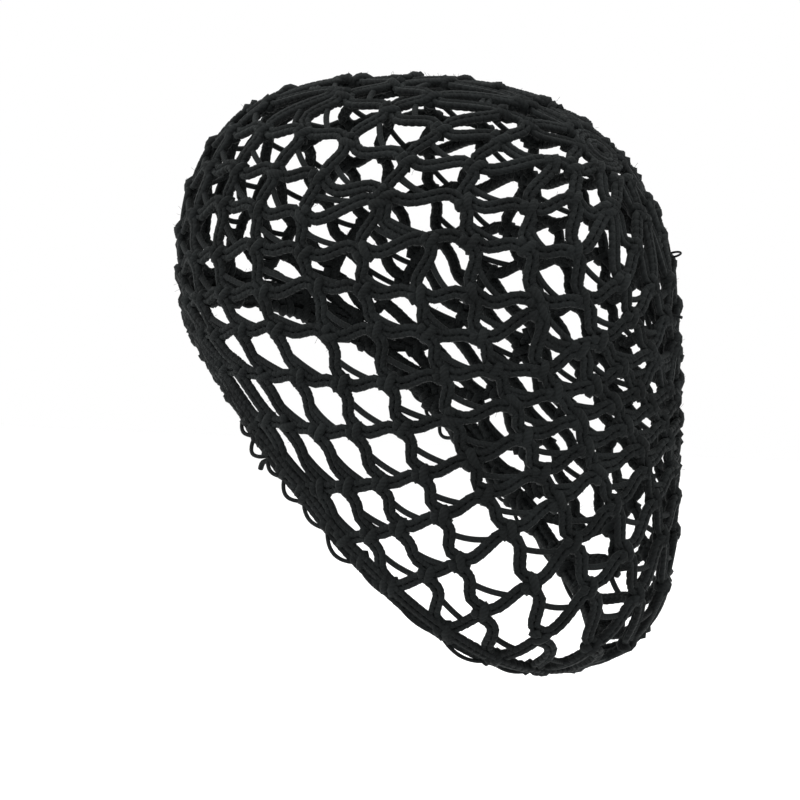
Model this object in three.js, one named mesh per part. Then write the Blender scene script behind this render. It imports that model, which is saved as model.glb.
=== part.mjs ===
// Crocheted open-mesh snood hairnet, in the form that it takes when it is worn.
// Millimetres, +Z up, the open front towards -Y. The origin is the inside of the
// top of the net on the middle plane, where it bears when it is worn.
import * as THREE from "three";

// Worn form: half sizes about a centre inside the net, each quarter its own
const HALF_WIDTH = 89;
const DEPTH_FRONT = 117;
const DEPTH_BACK = 141;
const HEIGHT_ABOVE = 130;
const HEIGHT_BELOW = 165;

// Roundness of the form: 2 is an ellipse, more is fuller at the shoulders
const FULLNESS_PLAN = 2.2;
const FULLNESS_TOP_FRONT = 3;
const FULLNESS_TOP_BACK = 2.4;
const FULLNESS_BELOW = 4.5;
const FRONT_TO_BACK_BLEND = 2;

// The crown centre sits behind and above; the rim lies this far round from it
const CROWN_ELEVATION = 40;
const RIM_REACH = { mean: 114, frontToBack: 12.8, sides: -3.3, corners: 2 };

// The edging draws the last fifth of the net in
const GATHER_START = 0.8;
const GATHER_DEPTH = 0.06;

// Netting wall, the bars left between two gaps and the zigzag of each round
const WALL = 3;
const BAR_WIDTH = 10;
const ZIGZAG = 0.021;
const GAP_POINTS = 10;
const GAP_SQUARENESS = 9;
const MERGE_TURN = 0.09;
const RIM_STEPS_PER_GAP = 4;

// Rim edging: a soft band worked on the last round
const BAND_WIDTH = 9;
const BAND_THICKNESS = 4;
const BAND_SIDES = 8;
const BAND_SQUARENESS = 0.7;
const SEAM = 0.3;

// Rounds from the crown centre out: gaps in the round, how far the round
// reaches as a share of the way to the rim, and where its first bar is, in gaps
const ROUNDS = [
  { gaps: 1, reach: 0.075, firstBar: 0 },
  { gaps: 6, reach: 0.205, firstBar: 0.1 },
  { gaps: 12, reach: 0.335, firstBar: 0.6 },
  { gaps: 16, reach: 0.465, firstBar: 0.2 },
  { gaps: 20, reach: 0.6, firstBar: 0.7 },
  { gaps: 21, reach: 0.735, firstBar: 0.3 },
  { gaps: 22, reach: 0.865, firstBar: 0.8 },
  { gaps: 22, reach: 1, firstBar: 0.3 },
];

// Steps in which the length of a ring is measured
const RING_STEPS = 720;

const FULL_TURN = 2 * Math.PI;
const centre = new THREE.Vector3(0, 0, WALL - HEIGHT_ABOVE);
const crown = THREE.MathUtils.degToRad(CROWN_ELEVATION);
const crownAxis = new THREE.Vector3(0, Math.cos(crown), Math.sin(crown));
const frontAxis = new THREE.Vector3(0, -Math.sin(crown), Math.cos(crown));
const sideAxis = new THREE.Vector3(1, 0, 0);

// Angle from the crown axis to the rim, at one turn round it
function rimAngle(turn) {
  const { mean, frontToBack, sides, corners } = RIM_REACH;
  const degrees = mean
    + frontToBack * Math.cos(turn)
    + sides * Math.cos(2 * turn)
    + corners * Math.cos(3 * turn);
  return THREE.MathUtils.degToRad(degrees);
}

// Direction from the centre at a turn and an angle from the crown axis
function direction(turn, angle) {
  return new THREE.Vector3()
    .addScaledVector(crownAxis, Math.cos(angle))
    .addScaledVector(frontAxis, Math.sin(angle) * Math.cos(turn))
    .addScaledVector(sideAxis, Math.sin(angle) * Math.sin(turn));
}

// Distance from the centre to the outer face of the net along a direction
function outerRadius(d) {
  const depth = d.y < 0 ? DEPTH_FRONT : DEPTH_BACK;
  const plan = Math.pow(
    Math.pow(Math.abs(d.x) / HALF_WIDTH, FULLNESS_PLAN)
      + Math.pow(Math.abs(d.y) / depth, FULLNESS_PLAN),
    1 / FULLNESS_PLAN,
  );
  const lean = d.y / (Math.abs(d.x) + Math.abs(d.y) + Number.EPSILON);
  const back = 0.5 + 0.5 * Math.tanh(FRONT_TO_BACK_BLEND * lean);
  const fullnessTop = THREE.MathUtils.lerp(FULLNESS_TOP_FRONT, FULLNESS_TOP_BACK, back);
  const fullness = d.z > 0 ? fullnessTop : FULLNESS_BELOW;
  const height = d.z > 0 ? HEIGHT_ABOVE : HEIGHT_BELOW;
  const radius = Math.pow(
    Math.pow(plan, fullness) + Math.pow(Math.abs(d.z) / height, fullness),
    -1 / fullness,
  );
  const angle = Math.acos(THREE.MathUtils.clamp(d.dot(crownAxis), -1, 1));
  const turn = Math.atan2(d.dot(sideAxis), d.dot(frontAxis));
  const late = Math.max(0, angle / rimAngle(turn) - GATHER_START) / (1 - GATHER_START);
  return radius * (1 - GATHER_DEPTH * late * late);
}

// Point along a direction, lifted off the outer face by so many millimetres
function pointAt(d, lift) {
  return centre.clone().addScaledVector(d, outerRadius(d) + lift);
}

// Positions and faces of one closed mesh, gathered point by point
class Shell {
  constructor() {
    this.positions = [];
    this.faces = [];
  }

  add(point) {
    this.positions.push(point.x, point.y, point.z);
    return this.positions.length / 3 - 1;
  }

  // A point on the outer face and the one below it on the inner face
  addPair(d) {
    return { d, outer: this.add(pointAt(d, 0)), inner: this.add(pointAt(d, -WALL)) };
  }

  // The same triangle on the outer face and, turned over, on the inner one
  facePair(a, b, c) {
    this.faces.push(a.outer, b.outer, c.outer);
    this.faces.push(a.inner, c.inner, b.inner);
  }

  // The wall below one edge, with the netting on the right of a to b
  edgeWall(a, b) {
    this.faces.push(a.outer, b.outer, b.inner);
    this.faces.push(a.outer, b.inner, a.inner);
  }

  geometry() {
    const geometry = new THREE.BufferGeometry();
    geometry.setAttribute("position", new THREE.Float32BufferAttribute(this.positions, 3));
    geometry.setIndex(this.faces);
    geometry.computeVertexNormals();
    return geometry;
  }
}

function wrapped(turn) {
  return ((turn % FULL_TURN) + FULL_TURN) % FULL_TURN;
}

// Turns at which the bars of one round run from the crown side to the rim side,
// spaced so that each gap has the same length of the ring
function barTurns(round) {
  const lengths = [0];
  let last = pointAt(direction(0, round.reach * rimAngle(0)), 0);
  for (let i = 1; i <= RING_STEPS; i += 1) {
    const turn = (i / RING_STEPS) * FULL_TURN;
    const next = pointAt(direction(turn, round.reach * rimAngle(turn)), 0);
    lengths.push(lengths[i - 1] + last.distanceTo(next));
    last = next;
  }
  return Array.from({ length: round.gaps }, (_, bar) => {
    const length = (lengths[RING_STEPS] * (bar + round.firstBar)) / round.gaps;
    const after = lengths.findIndex((value) => value > length);
    const share = (length - lengths[after - 1]) / (lengths[after] - lengths[after - 1]);
    return ((after - 1 + share) / RING_STEPS) * FULL_TURN;
  });
}

// Turns round the rim: the bars of the last round, with even steps between them
function rimTurns() {
  const bars = barTurns(ROUNDS[ROUNDS.length - 1]);
  return bars.flatMap((turn, i) => {
    const next = i + 1 < bars.length ? bars[i + 1] : bars[0] + FULL_TURN;
    const step = (next - turn) / RIM_STEPS_PER_GAP;
    return Array.from({ length: RIM_STEPS_PER_GAP }, (_, j) => turn + j * step);
  });
}

// Junctions on the line between two rounds. Bars that end on it pull it toward
// the crown, bars that start on it pull it toward the rim, and two bars that
// meet within a small turn share one junction.
function junctionLine(shell, round, ending, starting) {
  const ends = ending.map((turn, bar) => ({ turn: wrapped(turn), ends: bar }));
  const starts = starting.map((turn, bar) => ({ turn: wrapped(turn), starts: bar }));
  const marks = [...ends, ...starts].sort((a, b) => a.turn - b.turn);
  const merged = [];
  for (const mark of marks) {
    const last = merged[merged.length - 1];
    const close = last && mark.turn - last.turn < MERGE_TURN;
    const differ = last && (last.ends === undefined) !== (mark.ends === undefined);
    if (close && differ) {
      Object.assign(last, { ...mark, turn: (last.turn + mark.turn) / 2 });
    } else {
      merged.push({ ...mark });
    }
  }
  return merged.map((mark) => {
    const crownward = mark.ends === undefined ? 0 : ZIGZAG;
    const rimward = mark.starts === undefined ? 0 : ZIGZAG;
    const share = round.reach - crownward + rimward;
    const d = direction(mark.turn, share * rimAngle(mark.turn));
    return { ...mark, pair: shell.addPair(d) };
  });
}

// Junctions on the rim, where every bar of the last round ends
function rimLine(shell) {
  return rimTurns().map((turn, i) => {
    const ends = i % RIM_STEPS_PER_GAP === 0 ? i / RIM_STEPS_PER_GAP : undefined;
    return { turn, ends, pair: shell.addPair(direction(turn, rimAngle(turn))) };
  });
}

// Junctions of a line from one bar to the next, both included
function stretch(line, key, bar, bars) {
  const first = line.findIndex((mark) => mark[key] === bar);
  const last = line.findIndex((mark) => mark[key] === (bar + 1) % bars);
  const steps = (last - first + line.length) % line.length || line.length;
  return Array.from({ length: steps + 1 }, (_, i) => line[(first + i) % line.length].pair);
}

// Flat frame in the middle of a ring of pairs
function ringFrame(ring) {
  const points = ring.map((pair) => pointAt(pair.d, 0));
  const middle = new THREE.Vector3();
  points.forEach((point) => middle.addScaledVector(point, 1 / points.length));
  const normal = new THREE.Vector3();
  points.forEach((point, i) => {
    const next = points[(i + 1) % points.length];
    normal.add(point.clone().sub(middle).cross(next.clone().sub(middle)));
  });
  normal.normalize();
  const across = points[0].clone().sub(middle).projectOnPlane(normal).normalize();
  const along = normal.clone().cross(across);
  const flat = points.map((point) => {
    const offset = point.clone().sub(middle);
    return new THREE.Vector2(offset.dot(across), offset.dot(along));
  });
  return { middle, across, along, flat };
}

// Distance from the middle to the gap's edge: every side of the ring moved in
// by half a bar, with the corners between the sides rounded by a power mean
function gapRadius(flat, angle) {
  const sum = flat.reduce((total, a, i) => {
    const b = flat[(i + 1) % flat.length];
    const side = b.clone().sub(a);
    const outward = new THREE.Vector2(side.y, -side.x).normalize();
    const reach = outward.dot(a) - BAR_WIDTH / 2;
    const facing = outward.x * Math.cos(angle) + outward.y * Math.sin(angle);
    return total + Math.pow(Math.max(0, facing) / reach, GAP_SQUARENESS);
  }, 0);
  return Math.pow(sum, -1 / GAP_SQUARENESS);
}

// One cell of the net: the gap is cut through and the netting round it is closed
// to the cell's ring of junctions
function netCell(shell, ring) {
  const { middle, across, along, flat } = ringFrame(ring);
  const gap = Array.from({ length: GAP_POINTS }, (_, i) => {
    const angle = (i / GAP_POINTS) * FULL_TURN;
    const reach = gapRadius(flat, angle);
    const point = middle.clone()
      .addScaledVector(across, reach * Math.cos(angle))
      .addScaledVector(along, reach * Math.sin(angle));
    return shell.addPair(point.sub(centre).normalize());
  });
  const ringAngles = flat.map((point) => wrapped(Math.atan2(point.y, point.x)));
  ringAngles[0] = 0;
  let corner = 0;
  let step = 0;
  while (corner < ring.length || step < GAP_POINTS) {
    const nextCorner = corner + 1 < ring.length ? ringAngles[corner + 1] : FULL_TURN;
    const nextStep = ((step + 1) / GAP_POINTS) * FULL_TURN;
    const here = ring[corner % ring.length];
    const edge = gap[step % GAP_POINTS];
    const cornerFirst = step >= GAP_POINTS || (corner < ring.length && nextCorner <= nextStep);
    if (cornerFirst) {
      corner += 1;
      shell.facePair(here, ring[corner % ring.length], edge);
    } else {
      step += 1;
      shell.facePair(here, gap[step % GAP_POINTS], edge);
      shell.edgeWall(edge, gap[step % GAP_POINTS]);
    }
  }
}

// The netting is one piece of crochet: rounds of cells from the crown to the rim
function makeNet() {
  const shell = new Shell();
  const bars = ROUNDS.map((round) => (round.gaps > 1 ? barTurns(round) : []));
  const lines = ROUNDS.map((round, i) => {
    const isRim = i === ROUNDS.length - 1;
    return isRim ? rimLine(shell) : junctionLine(shell, round, bars[i], bars[i + 1]);
  });
  netCell(shell, lines[0].map((mark) => mark.pair));
  for (let i = 1; i < ROUNDS.length; i += 1) {
    const count = ROUNDS[i].gaps;
    for (let bar = 0; bar < count; bar += 1) {
      const crownSide = stretch(lines[i - 1], "starts", bar, count);
      const rimSide = stretch(lines[i], "ends", bar, count);
      netCell(shell, [...crownSide.reverse(), ...rimSide]);
    }
  }
  const rim = lines[ROUNDS.length - 1].map((mark) => mark.pair);
  rim.forEach((pair, i) => shell.edgeWall(rim[(i + 1) % rim.length], pair));
  return shell.geometry();
}

// The edging is a closed band of one rounded section, carried along the rim
function makeRimBand() {
  const shell = new Shell();
  const turns = rimTurns();
  const rounded = (value) => Math.sign(value) * Math.pow(Math.abs(value), BAND_SQUARENESS);
  for (const turn of turns) {
    const edge = rimAngle(turn);
    const radius = outerRadius(direction(turn, edge));
    for (let side = 0; side < BAND_SIDES; side += 1) {
      const around = ((side + 0.5) / BAND_SIDES) * FULL_TURN;
      const beyond = SEAM + (BAND_WIDTH / 2) * (1 + rounded(Math.cos(around)));
      const lift = (BAND_THICKNESS / 2) * rounded(Math.sin(around)) - WALL / 2;
      shell.add(pointAt(direction(turn, edge + beyond / radius), lift));
    }
  }
  for (let i = 0; i < turns.length; i += 1) {
    const next = (i + 1) % turns.length;
    for (let side = 0; side < BAND_SIDES; side += 1) {
      const above = (side + 1) % BAND_SIDES;
      const a = i * BAND_SIDES + side;
      const b = next * BAND_SIDES + side;
      const c = next * BAND_SIDES + above;
      const d = i * BAND_SIDES + above;
      shell.faces.push(a, b, c, a, c, d);
    }
  }
  return shell.geometry();
}

const netYarn = new THREE.MeshStandardMaterial({ color: 0x191c1c, roughness: 0.85, metalness: 0 });
const rimYarn = new THREE.MeshStandardMaterial({ color: 0x151818, roughness: 0.8, metalness: 0 });

const net = new THREE.Mesh(makeNet(), netYarn);
net.name = "net";

const rimBand = new THREE.Mesh(makeRimBand(), rimYarn);
rimBand.name = "rim_band";

const hairnet = new THREE.Group();
hairnet.add(net, rimBand);

export default hairnet;
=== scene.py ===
import bpy
import numpy as np
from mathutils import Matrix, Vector


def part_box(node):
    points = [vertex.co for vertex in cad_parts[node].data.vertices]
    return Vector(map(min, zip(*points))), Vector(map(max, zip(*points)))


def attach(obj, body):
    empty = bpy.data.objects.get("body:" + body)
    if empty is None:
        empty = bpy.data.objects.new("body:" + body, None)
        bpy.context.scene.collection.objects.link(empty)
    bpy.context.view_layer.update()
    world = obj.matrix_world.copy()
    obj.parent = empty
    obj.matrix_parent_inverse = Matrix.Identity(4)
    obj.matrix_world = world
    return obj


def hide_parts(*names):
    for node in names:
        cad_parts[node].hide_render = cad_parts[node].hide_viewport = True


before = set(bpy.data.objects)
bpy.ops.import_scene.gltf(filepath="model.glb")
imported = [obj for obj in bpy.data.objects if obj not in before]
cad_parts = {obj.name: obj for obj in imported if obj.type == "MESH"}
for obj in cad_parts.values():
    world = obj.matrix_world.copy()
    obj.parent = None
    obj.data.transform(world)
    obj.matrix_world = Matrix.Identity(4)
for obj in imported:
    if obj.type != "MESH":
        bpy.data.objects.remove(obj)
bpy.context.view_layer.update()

# The camera
# It stands behind the net on its left side, a little above its middle, as the
# photograph's did. Nothing here is part of the object.
MM = 0.001
CAMERA_AZIMUTH = np.radians(123.8)
CAMERA_ELEVATION = np.radians(3.0)
CAMERA_DISTANCE = 1300 * MM
VIEW_WIDTH = 381 * MM
SENSOR_WIDTH = 36.0
AIM = Vector((0.0, 0.0, -151 * MM))

towards_camera = Vector((
    np.sin(CAMERA_AZIMUTH) * np.cos(CAMERA_ELEVATION),
    -np.cos(CAMERA_AZIMUTH) * np.cos(CAMERA_ELEVATION),
    np.sin(CAMERA_ELEVATION),
))
camera_data = bpy.data.cameras.new("camera")
camera_data.sensor_width = SENSOR_WIDTH
camera_data.lens = SENSOR_WIDTH * CAMERA_DISTANCE / VIEW_WIDTH
camera = bpy.data.objects.new("camera", camera_data)
camera.location = AIM + towards_camera * CAMERA_DISTANCE
camera.rotation_euler = towards_camera.to_track_quat("Z", "Y").to_euler()
bpy.context.collection.objects.link(camera)
bpy.context.scene.camera = camera


# The white floor and the lights
# A flat floor of matt white paper lies well below the net. Four large soft lights
# stand round it, so that black yarn still shows.
FLOOR_DROP = 420 * MM
FLOOR_HALF = 3.0
FLOOR_COLOUR = (0.93, 0.93, 0.93, 1.0)
FLOOR_ROUGHNESS = 0.9
LIGHT_AIM = Vector((0.0, 0.0, -130 * MM))

# Name, place and size in metres, and power in watts
LIGHTS = (
    ("key_light", (1.6, 0.2, 1.5), 1.4, 45.0),
    ("back_light", (-0.4, 1.8, 1.1), 1.4, 30.0),
    ("front_light", (0.9, -1.6, 0.9), 1.2, 22.0),
    ("top_light", (0.0, 0.0, 1.9), 1.6, 25.0),
)

bpy.ops.mesh.primitive_plane_add(size=2 * FLOOR_HALF, location=(0, 0, -FLOOR_DROP))
floor = bpy.context.object
floor.name = "floor"
paper = bpy.data.materials.new("white_paper")
paper.use_nodes = True
paper_shader = paper.node_tree.nodes["Principled BSDF"]
paper_shader.inputs["Base Color"].default_value = FLOOR_COLOUR
paper_shader.inputs["Roughness"].default_value = FLOOR_ROUGHNESS
floor.data.materials.append(paper)

world = bpy.data.worlds.new("studio")
world.use_nodes = True
world.node_tree.nodes["Background"].inputs["Color"].default_value = (1.0, 1.0, 1.0, 1.0)
world.node_tree.nodes["Background"].inputs["Strength"].default_value = 1.0
bpy.context.scene.world = world
bpy.context.scene.view_settings.view_transform = "Standard"

for light_name, place, size, power in LIGHTS:
    light_data = bpy.data.lights.new(light_name, "AREA")
    light_data.size = size
    light_data.energy = power
    light = bpy.data.objects.new(light_name, light_data)
    light.location = place
    light.rotation_euler = (Vector(place) - LIGHT_AIM).to_track_quat("Z", "Y").to_euler()
    bpy.context.collection.objects.link(light)


# The netting
# One piece of crochet in black cotton and rayon yarn, worked in rounds from the
# crown centre to the rim. Each round is a chain of loops that runs in arches, and
# each arch is worked onto the middle of the arch before it.
net_low, net_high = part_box("net")
HALF_WIDTH = net_high[0]
DEPTH_BACK = net_high[1]
DEPTH_FRONT = 117 * MM
WALL = net_high[2]
HEIGHT_ABOVE = 130 * MM
HEIGHT_BELOW = 165 * MM
FULLNESS_PLAN = 2.2
FULLNESS_TOP_FRONT = 3.0
FULLNESS_TOP_BACK = 2.4
FULLNESS_BELOW = 4.5
FRONT_TO_BACK_BLEND = 2.0
CROWN_ELEVATION = np.radians(40.0)
# Degrees from the crown axis to the rim: a mean and three cosines of the turn
RIM_REACH = (114.0, 12.8, -3.3, 2.0)
GATHER_START = 0.8
GATHER_DEPTH = 0.06

# The step in turn or reach that slopes are taken over, and what keeps a divisor
# off zero
SLOPE_STEP = 1e-3
OFF_ZERO = 1e-12

centre = np.array((0.0, 0.0, WALL - HEIGHT_ABOVE))
crown_axis = np.array((0.0, np.cos(CROWN_ELEVATION), np.sin(CROWN_ELEVATION)))
front_axis = np.array((0.0, -np.sin(CROWN_ELEVATION), np.cos(CROWN_ELEVATION)))
side_axis = np.array((1.0, 0.0, 0.0))


def rim_angle(turn):
    """Angle from the crown axis to the rim: a mean and three cosines of the turn."""
    mean, front_to_back, sides, corners = RIM_REACH
    return np.radians(
        mean
        + front_to_back * np.cos(turn)
        + sides * np.cos(2 * turn)
        + corners * np.cos(3 * turn)
    )


def form_point(turn, reach, lift=0.0):
    """Points of the worn form. A direction from the centre leaves the crown axis
    by reach times the rim angle, at the turn round it. Its length is that of a
    superellipse in height over a superellipse in plan, drawn in near the rim,
    plus the lift."""
    turn, reach, lift = np.broadcast_arrays(turn, reach, lift)
    angle = reach * rim_angle(turn)
    way = (
        np.cos(angle)[..., None] * crown_axis
        + (np.sin(angle) * np.cos(turn))[..., None] * front_axis
        + (np.sin(angle) * np.sin(turn))[..., None] * side_axis
    )
    x, y, z = np.abs(way[..., 0]), way[..., 1], way[..., 2]
    depth = np.where(y < 0, DEPTH_FRONT, DEPTH_BACK)
    plan = (x / HALF_WIDTH) ** FULLNESS_PLAN + (np.abs(y) / depth) ** FULLNESS_PLAN
    plan = plan ** (1 / FULLNESS_PLAN)
    back = 0.5 + 0.5 * np.tanh(FRONT_TO_BACK_BLEND * y / (x + np.abs(y) + OFF_ZERO))
    top = FULLNESS_TOP_FRONT + (FULLNESS_TOP_BACK - FULLNESS_TOP_FRONT) * back
    fullness = np.where(z > 0, top, FULLNESS_BELOW)
    height = np.where(z > 0, HEIGHT_ABOVE, HEIGHT_BELOW)
    radius = (plan ** fullness + (np.abs(z) / height) ** fullness) ** (-1 / fullness)
    late = np.clip(reach - GATHER_START, 0, None) / (1 - GATHER_START)
    radius = radius * (1 - GATHER_DEPTH * late ** 2) + lift
    return centre + way * radius[..., None]


def unit(vectors):
    """Vectors brought to length one."""
    return vectors / np.linalg.norm(vectors, axis=-1, keepdims=True)


def form_out(turn, reach):
    """Outward directions: the cross product of the form's slopes in reach and turn."""
    down = form_point(turn, reach + SLOPE_STEP) - form_point(turn, reach - SLOPE_STEP)
    along = form_point(turn + SLOPE_STEP, reach) - form_point(turn - SLOPE_STEP, reach)
    return unit(np.cross(down, along))


def reach_length(turn, reach):
    """Metres of netting for one whole reach, at a place on the form."""
    step = form_point(turn, reach + SLOPE_STEP) - form_point(turn, reach - SLOPE_STEP)
    return np.linalg.norm(step, axis=-1) / (2 * SLOPE_STEP)


# Arches are wider at the sides than in front and behind: the weight of each part
# of a round says how closely they stand there
SIDE_WIDENING = 0.2
TURN_SAMPLES = 1440


def arch_turns(reach_at, start, share):
    """Turns at shares of a round, counted from its start, where the weighted
    length of netting up to each is that share of the whole."""
    turns = start + np.linspace(0, 2 * np.pi, TURN_SAMPLES + 1)
    points = form_point(turns, reach_at(turns))
    middle = (turns[1:] + turns[:-1]) / 2
    weight = 1 + SIDE_WIDENING * np.cos(2 * middle)
    length = np.linalg.norm(np.diff(points, axis=0), axis=1) * weight
    total = np.concatenate([[0.0], np.cumsum(length)])
    total = total / total[-1]
    whole = np.floor(share)
    return np.interp(share - whole, total, turns) + 2 * np.pi * whole


# Yarn and stitch sizes: a chain stitch is one loop of yarn drawn through the last
YARN_RADIUS = 1.6 * MM
YARN_SIDES = 5
STITCH = 3.5 * MM
STITCH_HALF_WIDTH = 1.9 * MM
STITCH_HALF_DEPTH = 1.2 * MM
NET_DEPTH = -2.8 * MM

# One stitch along the chain: stitches along, half widths across, half depths out
STITCH_ROUTE = np.array((
    (0.0, -0.25, -0.2),
    (0.4, -0.85, 0.6),
    (1.0, -0.8, 0.55),
    (1.3, 0.0, -0.1),
    (1.0, 0.8, 0.55),
    (0.4, 0.85, 0.6),
    (0.0, 0.25, -0.2),
    (0.1, 0.1, -0.8),
    (0.5, 0.0, -1.0),
    (0.85, -0.15, -0.8),
))
# A direction that the yarn of a stitch never runs along
STITCH_ASIDE = np.array((-0.14, -0.34, 0.93))


def rings_round(route, tangent, aside, radius, sides):
    """Rings of points round a route: each is a circle across the yarn's tangent,
    started from the cross product of the tangent and a direction aside from it."""
    across = unit(np.cross(tangent, aside))
    up = np.cross(across, tangent)
    angle = np.arange(sides) * 2 * np.pi / sides
    ring = (
        across[..., None, :] * np.cos(angle)[:, None]
        + up[..., None, :] * np.sin(angle)[:, None]
    )
    return route[..., None, :] + ring * radius


def stitch_rings():
    """The rings of one chain stitch, in metres along, across and out."""
    size = np.array((STITCH, STITCH_HALF_WIDTH, STITCH_HALF_DEPTH))
    route = STITCH_ROUTE * size
    step = np.array((STITCH, 0.0, 0.0))
    after = np.concatenate([route[1:], route[:1] + step])
    before = np.concatenate([route[-1:] - step, route[:-1]])
    return rings_round(route, unit(after - before), STITCH_ASIDE, YARN_RADIUS, YARN_SIDES)


def at_distance(wanted, distance, vectors, length):
    """Vectors at wanted distances along a closed line, each part interpolated."""
    parts = [np.interp(wanted, distance, vectors[:, k], period=length) for k in range(3)]
    return np.stack(parts, -1)


def chain(turn, reach, lift):
    """A closed chain of stitches along a line on the form. The line's length is
    split into whole stitches, and each point of a stitch is put at its distance
    along the line, its distance across it and its distance out from it."""
    points = form_point(turn, reach, lift)
    out = form_out(turn, reach)
    steps = np.linalg.norm(np.roll(points, -1, axis=0) - points, axis=1)
    length = steps.sum()
    distance = np.concatenate([[0.0], np.cumsum(steps)[:-1]])
    count = int(round(length / STITCH))
    template = stitch_rings()
    scale = length / (count * STITCH)
    number = np.arange(count)[:, None, None] * STITCH
    along = (template[None, :, :, 0] + number) * scale
    along = along.reshape(-1, YARN_SIDES)
    sideways = np.tile(template[:, :, 1], (count, 1))
    outward = np.tile(template[:, :, 2], (count, 1))
    middle = at_distance(along, distance, points, length)
    normal = unit(at_distance(along, distance, out, length))
    forward = unit(at_distance(along + STITCH / 4, distance, points, length) - middle)
    across = np.cross(normal, forward)
    return middle + across * sideways[..., None] + normal * outward[..., None]


def tube_faces(rings, sides, closed, first):
    """Corner numbers of the quads between neighbouring rings of a tube."""
    i = np.arange(rings if closed else rings - 1)[:, None]
    j = np.arange(sides)[None, :]
    here = first + i * sides
    there = first + ((i + 1) % rings) * sides
    turned = (j + 1) % sides
    return np.stack([here + j, here + turned, there + turned, there + j], -1).reshape(-1, 4)


def tube_uv(rings, sides, closed, per_ring):
    """UV of each quad corner: distance along the yarn and share of the way round."""
    i = np.arange(rings if closed else rings - 1)[:, None] * np.ones((1, sides))
    j = np.arange(sides)[None, :] * np.ones((len(i), 1))
    u = np.stack([i, i, i + 1, i + 1], -1) * per_ring
    v = np.stack([j, j + 1, j + 1, j], -1) / sides
    return np.stack([u, v], -1).reshape(-1, 2)


YARN_PER_RING = 1.4 * MM


def yarn_piece(name, strands, material):
    """One object from many yarn tubes. A strand is its rings of points and whether
    it closes on itself; the ends of an open one are shut by a flat face."""
    points, quads, uvs, ends = [], [], [], []
    first = 0
    for rings, closed in strands:
        count, sides = rings.shape[:2]
        points.append(rings.reshape(-1, 3))
        quads.append(tube_faces(count, sides, closed, first))
        uvs.append(tube_uv(count, sides, closed, YARN_PER_RING))
        if not closed:
            ends.append(first + np.arange(sides)[::-1])
            ends.append(first + (count - 1) * sides + np.arange(sides))
        first += count * sides
    points, quads, uvs = np.concatenate(points), np.concatenate(quads), np.concatenate(uvs)
    corners = [quads.reshape(-1)] + ends
    lengths = np.array([4] * len(quads) + [len(end) for end in ends])
    corners = np.concatenate(corners)
    uvs = np.concatenate([uvs, np.zeros((len(corners) - len(uvs), 2))])
    mesh = bpy.data.meshes.new(name)
    mesh.vertices.add(len(points))
    mesh.vertices.foreach_set("co", points.astype(np.float32).ravel())
    mesh.loops.add(len(corners))
    mesh.loops.foreach_set("vertex_index", corners.astype(np.int32))
    mesh.polygons.add(len(lengths))
    starts = np.concatenate([[0], np.cumsum(lengths)[:-1]])
    mesh.polygons.foreach_set("loop_start", starts.astype(np.int32))
    mesh.polygons.foreach_set("use_smooth", np.ones(len(lengths), bool))
    mesh.uv_layers.new(name="yarn").data.foreach_set("uv", uvs.astype(np.float32).ravel())
    mesh.update(calc_edges=True)
    mesh.validate()
    piece = bpy.data.objects.new(name, mesh)
    bpy.context.collection.objects.link(piece)
    mesh.materials.append(material)
    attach(piece, "root")
    return piece


# The yarn's look: three plies laid round it, a short pile on them, and patches where the dye
# took more or less. The plies also lighten the colour on their crests and darken it in the
# grooves between them, which is painted shade.
PLIES = 3
PLY_LAY = 3.2 * MM
PLY_RELIEF = 0.35
# How far the colour is darkened in the ply grooves and lightened on the crests: painted shade
PLY_GROOVE_SHADE = 0.12
PILE_SCALE = 2600.0
PILE_DETAIL = 4.0
BUMP_STRENGTH = 0.6
BUMP_DEPTH = 0.25 * MM
PATCH_SCALE = 60.0
PATCH_DETAIL = 3.0
PATCH_RANGE = (0.3, 0.75)
SHEEN = 0.02
SHEEN_ROUGHNESS = 0.5
SHEEN_TINT = (0.75, 0.85, 0.82, 1.0)
SHINE = 0.07


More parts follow.
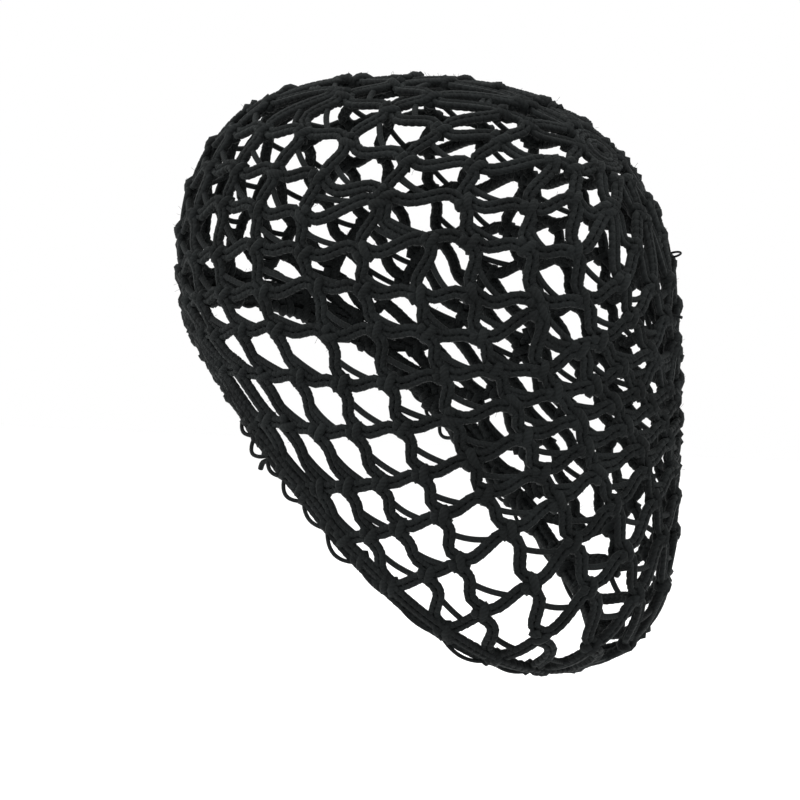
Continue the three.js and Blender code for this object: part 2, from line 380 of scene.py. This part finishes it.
def yarn_material(name, dark, light, roughness):
    """Matt twisted yarn. The plies are stripes of the yarn's own UV, slanted round it, and they
    and a fine pile raise the bump. A slow noise of uneven dye changes the colour, and the ply
    stripes darken it in their grooves as painted shade."""
    material = bpy.data.materials.new(name)
    material.use_nodes = True
    nodes, links = material.node_tree.nodes, material.node_tree.links
    shader = nodes["Principled BSDF"]
    shader.inputs["Roughness"].default_value = roughness
    shader.inputs["Sheen Weight"].default_value = SHEEN
    shader.inputs["Sheen Roughness"].default_value = SHEEN_ROUGHNESS
    shader.inputs["Sheen Tint"].default_value = SHEEN_TINT
    shader.inputs["Specular IOR Level"].default_value = SHINE
    uv = nodes.new("ShaderNodeUVMap")
    uv.uv_map = "yarn"
    split = nodes.new("ShaderNodeSeparateXYZ")
    links.new(uv.outputs["UV"], split.inputs["Vector"])
    lay = nodes.new("ShaderNodeMath")
    lay.operation = "MULTIPLY_ADD"
    lay.inputs[1].default_value = 1 / PLY_LAY
    links.new(split.outputs["X"], lay.inputs[0])
    links.new(split.outputs["Y"], lay.inputs[2])
    plies = nodes.new("ShaderNodeMath")
    plies.operation = "MULTIPLY"
    plies.inputs[1].default_value = PLIES * 2 * np.pi
    links.new(lay.outputs[0], plies.inputs[0])
    wave = nodes.new("ShaderNodeMath")
    wave.operation = "COSINE"
    links.new(plies.outputs[0], wave.inputs[0])
    place = nodes.new("ShaderNodeTexCoord")
    pile = nodes.new("ShaderNodeTexNoise")
    pile.inputs["Scale"].default_value = PILE_SCALE
    pile.inputs["Detail"].default_value = PILE_DETAIL
    links.new(place.outputs["Object"], pile.inputs["Vector"])
    relief = nodes.new("ShaderNodeMath")
    relief.operation = "MULTIPLY_ADD"
    relief.inputs[1].default_value = PLY_RELIEF
    links.new(wave.outputs[0], relief.inputs[0])
    links.new(pile.outputs["Fac"], relief.inputs[2])
    bump = nodes.new("ShaderNodeBump")
    bump.inputs["Strength"].default_value = BUMP_STRENGTH
    bump.inputs["Distance"].default_value = BUMP_DEPTH
    links.new(relief.outputs[0], bump.inputs["Height"])
    links.new(bump.outputs["Normal"], shader.inputs["Normal"])
    patches = nodes.new("ShaderNodeTexNoise")
    patches.inputs["Scale"].default_value = PATCH_SCALE
    patches.inputs["Detail"].default_value = PATCH_DETAIL
    links.new(place.outputs["Object"], patches.inputs["Vector"])
    # The colour: painted shade from the ply stripes, dark in their grooves and light on their
    # crests, plus the slow noise of uneven dye
    ply_shade_and_dye = nodes.new("ShaderNodeMath")
    ply_shade_and_dye.operation = "MULTIPLY_ADD"
    ply_shade_and_dye.inputs[1].default_value = PLY_GROOVE_SHADE
    links.new(wave.outputs[0], ply_shade_and_dye.inputs[0])
    links.new(patches.outputs["Fac"], ply_shade_and_dye.inputs[2])
    colour = nodes.new("ShaderNodeValToRGB")
    for stop, position, shade in zip(colour.color_ramp.elements, PATCH_RANGE, (dark, light)):
        stop.position = position
        stop.color = (*shade, 1.0)
    links.new(ply_shade_and_dye.outputs[0], colour.inputs["Fac"])
    links.new(colour.outputs["Color"], shader.inputs["Base Color"])
    return material


# Darkest and lightest colour, and roughness
NET_LOOK = ((0.0018, 0.0022, 0.0023), (0.0052, 0.0062, 0.0064), 0.75)
net_yarn = yarn_material("net_yarn", *NET_LOOK)

# Rounds and arches. The net is stretched in front and drawn together at the
# lower back, so a round stands nearer the rim in front than at the sides, and
# the rounds at the back are wide above and narrow below.
ROUNDS = 16
ROUND_SPREAD = 1.14
FRONT_STRETCH = 0.16
FRONT_SPREAD = 1.3
BACK_STRETCH = 0.085

# How steeply and from which cosine of the turn each part of the net begins
FRONT_EDGE = (3.2, 0.3)
BACK_EDGE = (4.0, 0.72)
LOW_BACK_EDGE = (6.0, 0.9)

LOWER_START = 0.6
LOWER_STRETCH = 0.04
LOW_BACK_GATHER = 0.13

# From which round on there are how many arches in a round
ARCH_COUNTS = ((1, 9), (3, 16), (7, 23))

# One round starts at this turn. The others start further on or back by a drift
# for each round between, and by a bend for the square of their number.
START_ROUND = 10
START_TURN = np.radians(116.0)
START_DRIFT = np.radians(1.23)
START_BEND = np.radians(0.317)

ARCH_STEPS = 48
ARCH_FLATNESS = 1.8
WORKED_ON = 3.8 * MM
WORKED_OVER = 0.6 * MM
PLACE_JITTER = 0.9 * MM
SHARE_JITTER = 0.035
MOST_ARCHES = 23
rng = np.random.default_rng(11)

# The round that is drawn narrow at the back, how much, and over how many rounds
TIGHT_ROUND = 8
TIGHT_BACK = 0.5
TIGHT_EDGE = 1.5
TIGHT_FADE = 5


def soft_step(value, steepness, start):
    """Nought well below the start and one well above it, by a tanh."""
    return 0.5 + 0.5 * np.tanh(steepness * (value - start))


def round_reach(number, turn):
    """Reach of a round at a turn: a power of its share of all rounds, plus half
    sine waves of the share. One is for the front, one for the upper back, one for
    the lower rounds, and one for the lower back takes away."""
    share = (number + 1) / (ROUNDS + 1)
    front = soft_step(np.cos(turn), *FRONT_EDGE)
    back = soft_step(-np.cos(turn), *BACK_EDGE)
    low_back = soft_step(-np.cos(turn), *LOW_BACK_EDGE)
    upper = np.sin(np.pi * np.clip(share / LOWER_START, 0, 1))
    lower = np.sin(np.pi * np.clip((share - LOWER_START) / (1 - LOWER_START), 0, 1))
    reach = share ** ROUND_SPREAD + LOWER_STRETCH * lower
    reach = reach + FRONT_STRETCH * np.sin(np.pi * share ** FRONT_SPREAD) * front
    return reach + BACK_STRETCH * upper * back - LOW_BACK_GATHER * lower * low_back


def arches_in(number):
    """How many arches a round has: the last count whose first round is reached."""
    return [count for first, count in ARCH_COUNTS if number >= first][-1]


def rounded_arch(phase):
    """How far an arch has dropped at a phase of it: none at its two ends and all
    in its middle, flat at both and steep between, from a tanh of a cosine."""
    wave = np.tanh(ARCH_FLATNESS * np.cos(2 * np.pi * phase)) / np.tanh(ARCH_FLATNESS)
    return 0.5 - 0.5 * wave


def tightened(turn, reach):
    """Reach with one round drawn narrow at the back: rounds past it stand nearer
    the crown there, and those before it nearer the rim, fading to both ends."""
    back = np.clip(-np.cos(turn), 0, None) ** 2
    middle = (round_reach(TIGHT_ROUND, turn) + round_reach(TIGHT_ROUND - 1, turn)) / 2
    pitch = 1 / (ROUNDS + 1)
    away = (reach - middle) / pitch
    pull = 0.5 * TIGHT_BACK * pitch * np.tanh(away * TIGHT_EDGE)
    return reach - back * (pull * np.exp(-np.abs(away) / TIGHT_FADE))


# Each round has its own unevenness, the same for the arches worked onto it
node_drift = rng.normal(0, PLACE_JITTER, (ROUNDS + 1, MOST_ARCHES))
node_shift = rng.normal(0, SHARE_JITTER, (ROUNDS + 1, MOST_ARCHES))


def node_places(number):
    """Turn and drift of each arch middle of one round. Every second round stands
    half an arch further on."""
    arches = arches_in(number)
    half = 0.5 * (number % 2)
    share = (np.arange(arches) + half + node_shift[number, :arches]) / arches
    past = number - START_ROUND
    start = START_TURN + START_DRIFT * past + START_BEND * past ** 2
    turn = arch_turns(lambda turns: round_reach(number, turns), start, share)
    return turn, node_drift[number, :arches]


def next_round(turns):
    """The same turns moved on by one arch, the first one after a whole turn."""
    return np.concatenate([turns[1:], [turns[0] + 2 * np.pi]])


def worked_places(number, before):
    """Turn and reach of the places where a round is worked onto the one before it:
    the arch middles there, or any places of its line where the count changes."""
    low_turn, _ = node_places(number)
    if number > 1 and arches_in(number - 1) == arches_in(number):
        turn, drift = node_places(number - 1)
        metres = reach_length(turn, round_reach(number - 1, turn))
        return turn, round_reach(number - 1, turn) + drift / metres
    last_turn = np.concatenate([[low_turn[-1] - 2 * np.pi], low_turn[:-1]])
    turn = (low_turn + last_turn) / 2
    if before is None:
        return turn, round_reach(0, turn)
    return turn, np.interp(turn, before[0], before[1], period=2 * np.pi)


def round_line(number, before):
    """Turn, reach and lift along one round. It leaves each knot on the round
    before it, drops to its own arch middle and climbs to the next knot."""
    arches = arches_in(number)
    low_turn, low_drift = node_places(number)
    high_turn, high_reach = worked_places(number, before)
    if low_turn[0] < high_turn[0]:
        low_turn, low_drift = next_round(low_turn), np.roll(low_drift, -1)
    step = np.arange(ARCH_STEPS) / ARCH_STEPS
    first = step < 0.5
    down = high_turn[:, None] + (low_turn - high_turn)[:, None] * (2 * step)
    up = low_turn[:, None] + (next_round(high_turn) - low_turn)[:, None] * (2 * step - 1)
    turn = np.where(first, down, up).ravel()
    high = np.where(first, high_reach[:, None], np.roll(high_reach, -1)[:, None]).ravel()
    drop = np.tile(rounded_arch(step), arches)
    metres = reach_length(turn, round_reach(number, turn))
    top = high + WORKED_ON / metres
    bottom = round_reach(number, turn) + np.repeat(low_drift, ARCH_STEPS) / metres
    reach = top + (bottom - top) * drop
    lift = NET_DEPTH + WORKED_OVER * (1 - 2 * drop)
    return turn, reach, lift


round_lines = [None]
for number in range(1, ROUNDS + 1):
    round_lines.append(round_line(number, round_lines[-1]))


def drawn(line):
    """A round's line after the net is drawn tight at the back."""
    turn, reach, lift = line
    return turn, tightened(turn, reach), lift


# Groups of rounds, from the crown to the rim, each with its first and last round
ROUND_GROUPS = (
    ("crown_rounds", 1, 7),
    ("upper_rounds", 8, 10),
    ("middle_rounds", 11, 13),
    ("nape_rounds", 14, 16),
)
for group, first_round, last_round in ROUND_GROUPS:
    strands = [
        (chain(*drawn(round_lines[n])), True) for n in range(first_round, last_round + 1)
    ]
    rounds = yarn_piece(group, strands, net_yarn)
    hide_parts("net")


# The knots
# Where an arch is worked onto the one before it, a double crochet stitch wraps
# both chains. It is made of the same yarn and pulled tight, so it stands proud.
KNOT_TURNS = 1.5
KNOT_RINGS = 14
KNOT_SIDES = 5
KNOT_HALF_LENGTH = 2.9 * MM
KNOT_HALF_HEIGHT = 3.4 * MM
KNOT_HALF_DEPTH = 1.9 * MM
KNOT_RADIUS = 2.2 * MM
KNOT_LEAN = 0.5
KNOT_SIZES = (0.88, 1.1)

knot_step = np.linspace(-1, 1, KNOT_RINGS)
knot_angle = knot_step * np.pi * KNOT_TURNS
knot_route = np.stack([
    KNOT_HALF_LENGTH * knot_step,
    KNOT_HALF_HEIGHT * np.cos(knot_angle),
    KNOT_HALF_DEPTH * np.sin(knot_angle),
], -1)


def knots_of(turn, reach):
    """The wrapped stitches at places on a round: a helix with an oval section,
    set along the round at each place, square to the form."""
    reach = tightened(turn, reach + WORKED_ON / 2 / reach_length(turn, reach))
    middle = form_point(turn, reach, NET_DEPTH)
    out = form_out(turn, reach)
    along = unit(form_point(turn + SLOPE_STEP, reach) - form_point(turn - SLOPE_STEP, reach))
    across = np.cross(out, along)
    axes = np.stack([along, across, out], 1)
    lean = rng.normal(0, KNOT_LEAN, len(turn))
    tilt = np.stack([
        np.stack([np.cos(lean), np.sin(lean), 0 * lean], -1),
        np.stack([-np.sin(lean), np.cos(lean), 0 * lean], -1),
        np.stack([0 * lean, 0 * lean, 1 + 0 * lean], -1),
    ], 1)
    axes = np.einsum("nij,njk->nik", tilt, axes)
    size = rng.uniform(*KNOT_SIZES, (len(turn), 1, 1))
    route = middle[:, None, :] + np.einsum("rk,nkc->nrc", knot_route, axes) * size
    tangent = unit(np.gradient(route, axis=1))
    aside = np.broadcast_to(axes[:, None, 0, :], tangent.shape)
    return rings_round(route, tangent, aside, KNOT_RADIUS, KNOT_SIDES)


knot_places = [worked_places(number, round_lines[number - 1]) for number in range(1, ROUNDS + 1)]
last_turn, _ = node_places(ROUNDS)
knot_places.append((last_turn, np.ones(len(last_turn))))
knot_strands = [(rings, False) for place in knot_places for rings in knots_of(*place)]
knots = yarn_piece("knots", knot_strands, net_yarn)
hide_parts("net")


# The cross strands
# In every cell but those at the crown, a strand of the yarn runs across the corner
# nearest the rim, from one side of the arch to the other, and sags a little.
CROSS_FROM = 0.22
CROSS_JITTER = 0.04
CROSS_RINGS = 9
CROSS_SIDES = 5
CROSS_SAG = 0.9 * MM
CROSS_SAG_SHARES = (0.4, 1.3)
CROSS_RADIUS = 1.45 * MM
FIRST_CROSSED_ROUND = 4


def cross_strands(number):
    """A strand across each arch of one round, straight between two phases of the
    arch and lowered by half a sine wave."""
    turn, reach, _ = drawn(round_lines[number])
    arches = arches_in(number)
    turn = np.concatenate([turn, [turn[0] + 2 * np.pi]])
    reach = np.concatenate([reach, [reach[0]]])
    first = np.arange(arches) * ARCH_STEPS
    start = CROSS_FROM + rng.uniform(-CROSS_JITTER, CROSS_JITTER, arches)
    end = 1 - CROSS_FROM + rng.uniform(-CROSS_JITTER, CROSS_JITTER, arches)
    at = np.arange(len(turn))
    step = np.linspace(0, 1, CROSS_RINGS)
    ends = np.stack([first + start * ARCH_STEPS, first + end * ARCH_STEPS], -1)
    end_turn = np.interp(ends, at, turn)
    end_reach = np.interp(ends, at, reach)
    strand_turn = end_turn[:, :1] + (end_turn[:, 1:] - end_turn[:, :1]) * step
    strand_reach = end_reach[:, :1] + (end_reach[:, 1:] - end_reach[:, :1]) * step
    sag = CROSS_SAG * rng.uniform(*CROSS_SAG_SHARES, (arches, 1)) * np.sin(np.pi * step)
    strand_reach = strand_reach + sag / reach_length(strand_turn, strand_reach)
    route = form_point(strand_turn, strand_reach, NET_DEPTH)
    tangent = unit(np.gradient(route, axis=1))
    out = form_out(strand_turn, strand_reach)
    return rings_round(route, tangent, out, CROSS_RADIUS, CROSS_SIDES)


cross_list = [
    (rings, False)
    for number in range(FIRST_CROSSED_ROUND, ROUNDS + 1)
    for rings in cross_strands(number)
]
crossings = yarn_piece("cross_strands", cross_list, net_yarn)
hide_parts("net")


# The crown ring
# The work starts in a small tight ring of chain stitches, in two turns. The
# first round of arches is worked onto the outer one.
RING_REACHES = (0.018, 0.04)
RING_POINTS = 96

ring_turn = np.linspace(0, 2 * np.pi, RING_POINTS + 1)[:-1]
ring_lift = np.full(RING_POINTS, NET_DEPTH)
ring_strands = [
    (chain(ring_turn, np.full(RING_POINTS, reach), ring_lift), True) for reach in RING_REACHES
]
crown_ring = yarn_piece("crown_ring", ring_strands, net_yarn)
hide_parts("net")


# The rim edging
# Two close rounds of chain are worked on the last arches, in the same yarn, and
# draw the net in round its opening.
RIM_LOOK = ((0.0017, 0.0020, 0.0021), (0.0048, 0.0057, 0.0059), 0.72)
band_yarn = yarn_material("rim_yarn", *RIM_LOOK)
EDGING_ROUNDS = (0.8 * MM, 4.6 * MM)
EDGING_LIFT = (-1.9 * MM, -2.2 * MM)
EDGING_STEPS = 720
EDGING_WAVE = 1.7 * MM

# How many times each sine of the edging's waviness runs its course round the rim
EDGING_WAVES = np.arange(3, 27)[:, None]

edging_turn = np.linspace(0, 2 * np.pi, EDGING_STEPS + 1)[:-1]
edging_metres = reach_length(edging_turn, np.ones(EDGING_STEPS))


def uneven(count, size):
    """A closed wavy line: a sum of sines with seeded sizes and starts."""
    at = np.arange(count) / count
    start = rng.uniform(0, 2 * np.pi, EDGING_WAVES.shape)
    high = rng.normal(0, 1, EDGING_WAVES.shape)
    wave = (high * np.sin(2 * np.pi * EDGING_WAVES * at + start)).sum(0)
    return size * wave / np.abs(wave).max()


edging_strands = []
for beyond, edging_lift in zip(EDGING_ROUNDS, EDGING_LIFT):
    edging_reach = 1 + (beyond + uneven(EDGING_STEPS, EDGING_WAVE)) / edging_metres
    edging_strands.append((chain(edging_turn, edging_reach, edging_lift), True))
edging = yarn_piece("rim_edging", edging_strands, band_yarn)
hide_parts("rim_band")


# The rim loops
# Outside the edging a single thin strand of the yarn runs in flat loops. A tight
# stitch catches it down between them, so small lens-shaped gaps show under it.
LOOP_COUNT = 44
LOOP_STEPS = 12
LOOP_HEIGHT = 4.4 * MM
LOOP_FROM = 5.6 * MM
LOOP_RADIUS = 1.0 * MM
LOOP_SHARES = (0.1, 0.7)
LOOP_BLUNTNESS = 0.8
CATCH_JITTER = 0.02

# Between the sides and the middle of the back the loops stand higher, and the
# further back they are, the more they lean outward as they leave the rim
LOOP_EXTRA = 0.6
LOOP_LEAN = 1.3

loop_at = np.arange(LOOP_COUNT * LOOP_STEPS) / LOOP_STEPS
loop_turn = 2 * np.pi * loop_at / LOOP_COUNT
loop_high = rng.uniform(*LOOP_SHARES, LOOP_COUNT)[np.floor(loop_at).astype(int)]
loop_back = (0.5 - 0.5 * np.cos(2 * loop_turn)) * (np.cos(loop_turn) < 0)
loop_arc = np.abs(np.sin(np.pi * loop_at)) ** LOOP_BLUNTNESS
loop_out = LOOP_FROM + LOOP_HEIGHT * (loop_high + LOOP_EXTRA * loop_back) * loop_arc
loop_reach = 1 + loop_out / reach_length(loop_turn, np.ones(len(loop_turn)))
loop_lean = LOOP_LEAN * (0.5 - 0.5 * np.cos(loop_turn))
loop_lift = EDGING_LIFT[0] + loop_lean * (loop_out - LOOP_FROM)
loop_route = form_point(loop_turn, loop_reach, loop_lift)
loop_next = np.roll(loop_route, -1, axis=0)
loop_last = np.roll(loop_route, 1, axis=0)
loop_rings = rings_round(
    loop_route,
    unit(loop_next - loop_last),
    form_out(loop_turn, loop_reach),
    LOOP_RADIUS,
    YARN_SIDES,
)

catch_turn = loop_turn[::LOOP_STEPS] + rng.normal(0, CATCH_JITTER, LOOP_COUNT)
catch_reach = 1 + (LOOP_FROM - WORKED_ON) / reach_length(catch_turn, np.ones(LOOP_COUNT))
loop_strands = [(rings, False) for rings in knots_of(catch_turn, catch_reach)]
loop_strands.append((loop_rings, True))
rim_loops = yarn_piece("rim_loops", loop_strands, band_yarn)
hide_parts("rim_band")


# The loose ends
# A short tail of yarn is left at the rim where the work was fastened off, and a
# small loop and a pulled end stand out at the back.
LOOSE_RINGS = 18
LOOSE_SIDES = 6
STRAY_LOOP_ANGLE = 1.84 * np.pi

loose_step = np.linspace(0, 1, LOOSE_RINGS)
loop_angle = STRAY_LOOP_ANGLE * (loose_step - 0.5)
still = np.zeros(LOOSE_RINGS)

# Turn in degrees, reach, radius in millimetres, and the way of each strand in
# millimetres: along the round, towards the rim and out
LOOSE_ENDS = (
    (108.0, 1.0, 1.3, 1.5 * np.sin(2 * np.pi * loose_step), 15 * loose_step, 2 * loose_step),
    (216.0, 0.24, 0.55, 2.4 * np.sin(loop_angle), still, 3.0 + 3.4 * np.cos(loop_angle)),
    (194.0, 0.345, 0.8, 2 * loose_step, 1.5 * loose_step ** 2, 4.5 * loose_step),
)


def loose_rings(turn, reach, radius, along, down, out):
    """A strand from a place on the form, its way given in millimetres along the
    round, towards the rim and out, each times the form's own directions there."""
    turn = np.radians(turn)
    outward = form_out(turn, reach)
    rim_way = unit(form_point(turn, reach + SLOPE_STEP) - form_point(turn, reach - SLOPE_STEP))
    round_way = np.cross(outward, rim_way)
    way = along[:, None] * round_way + down[:, None] * rim_way + out[:, None] * outward
    route = form_point(turn, reach, NET_DEPTH) + way * MM
    tangent = unit(np.gradient(route, axis=0))
    aside = np.broadcast_to(unit(round_way + rim_way), tangent.shape)
    return rings_round(route, tangent, aside, radius * MM, LOOSE_SIDES)


loose_list = [(loose_rings(*loose_end), False) for loose_end in LOOSE_ENDS]
loose = yarn_piece("loose_ends", loose_list, net_yarn)
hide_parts("net")


# The fuzz
# Fine cotton fibres stand off from the yarn on all sides, a few millimetres long
# and bent, as on any spun yarn that has been handled.
FIBRES = 1800
FIBRE_RINGS = 4
FIBRE_SIDES = 3
FIBRE_RADIUS = 0.07 * MM
FIBRE_LENGTH = (0.8 * MM, 2.4 * MM)
FIBRE_BEND = 0.7
FIBRE_OUTWARD = 0.8

# Keeps the direction aside from a fibre off zero where it has no bend
FIBRE_ASIDE = 1e-6

fuzz_line = [np.concatenate(parts) for parts in zip(*[drawn(line) for line in round_lines[1:]])]
fuzz_pick = rng.integers(0, len(fuzz_line[0]), FIBRES)
fuzz_root = form_point(*[values[fuzz_pick] for values in fuzz_line])
fuzz_out = form_out(fuzz_line[0][fuzz_pick], fuzz_line[1][fuzz_pick])
fuzz_way = unit(rng.normal(0, 1, (FIBRES, 3)) + FIBRE_OUTWARD * fuzz_out)
fuzz_bend = FIBRE_BEND * unit(rng.normal(0, 1, (FIBRES, 3)))
fuzz_length = rng.uniform(*FIBRE_LENGTH, (FIBRES, 1, 1)) + STITCH_HALF_WIDTH
fuzz_step = np.linspace(0, 1, FIBRE_RINGS)[None, :, None]
fuzz_curve = fuzz_way[:, None, :] * fuzz_step + fuzz_bend[:, None, :] * fuzz_step ** 2
fuzz_route = fuzz_root[:, None, :] + fuzz_curve * fuzz_length
fuzz_tangent = unit(np.gradient(fuzz_route, axis=1))
fuzz_aside = unit(np.cross(fuzz_way, fuzz_bend) + FIBRE_ASIDE)[:, None, :]
fuzz_aside = np.broadcast_to(fuzz_aside, fuzz_tangent.shape)
fuzz_rings = rings_round(fuzz_route, fuzz_tangent, fuzz_aside, FIBRE_RADIUS, FIBRE_SIDES)
fuzz = yarn_piece("yarn_fuzz", [(rings, False) for rings in fuzz_rings], net_yarn)
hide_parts("net")
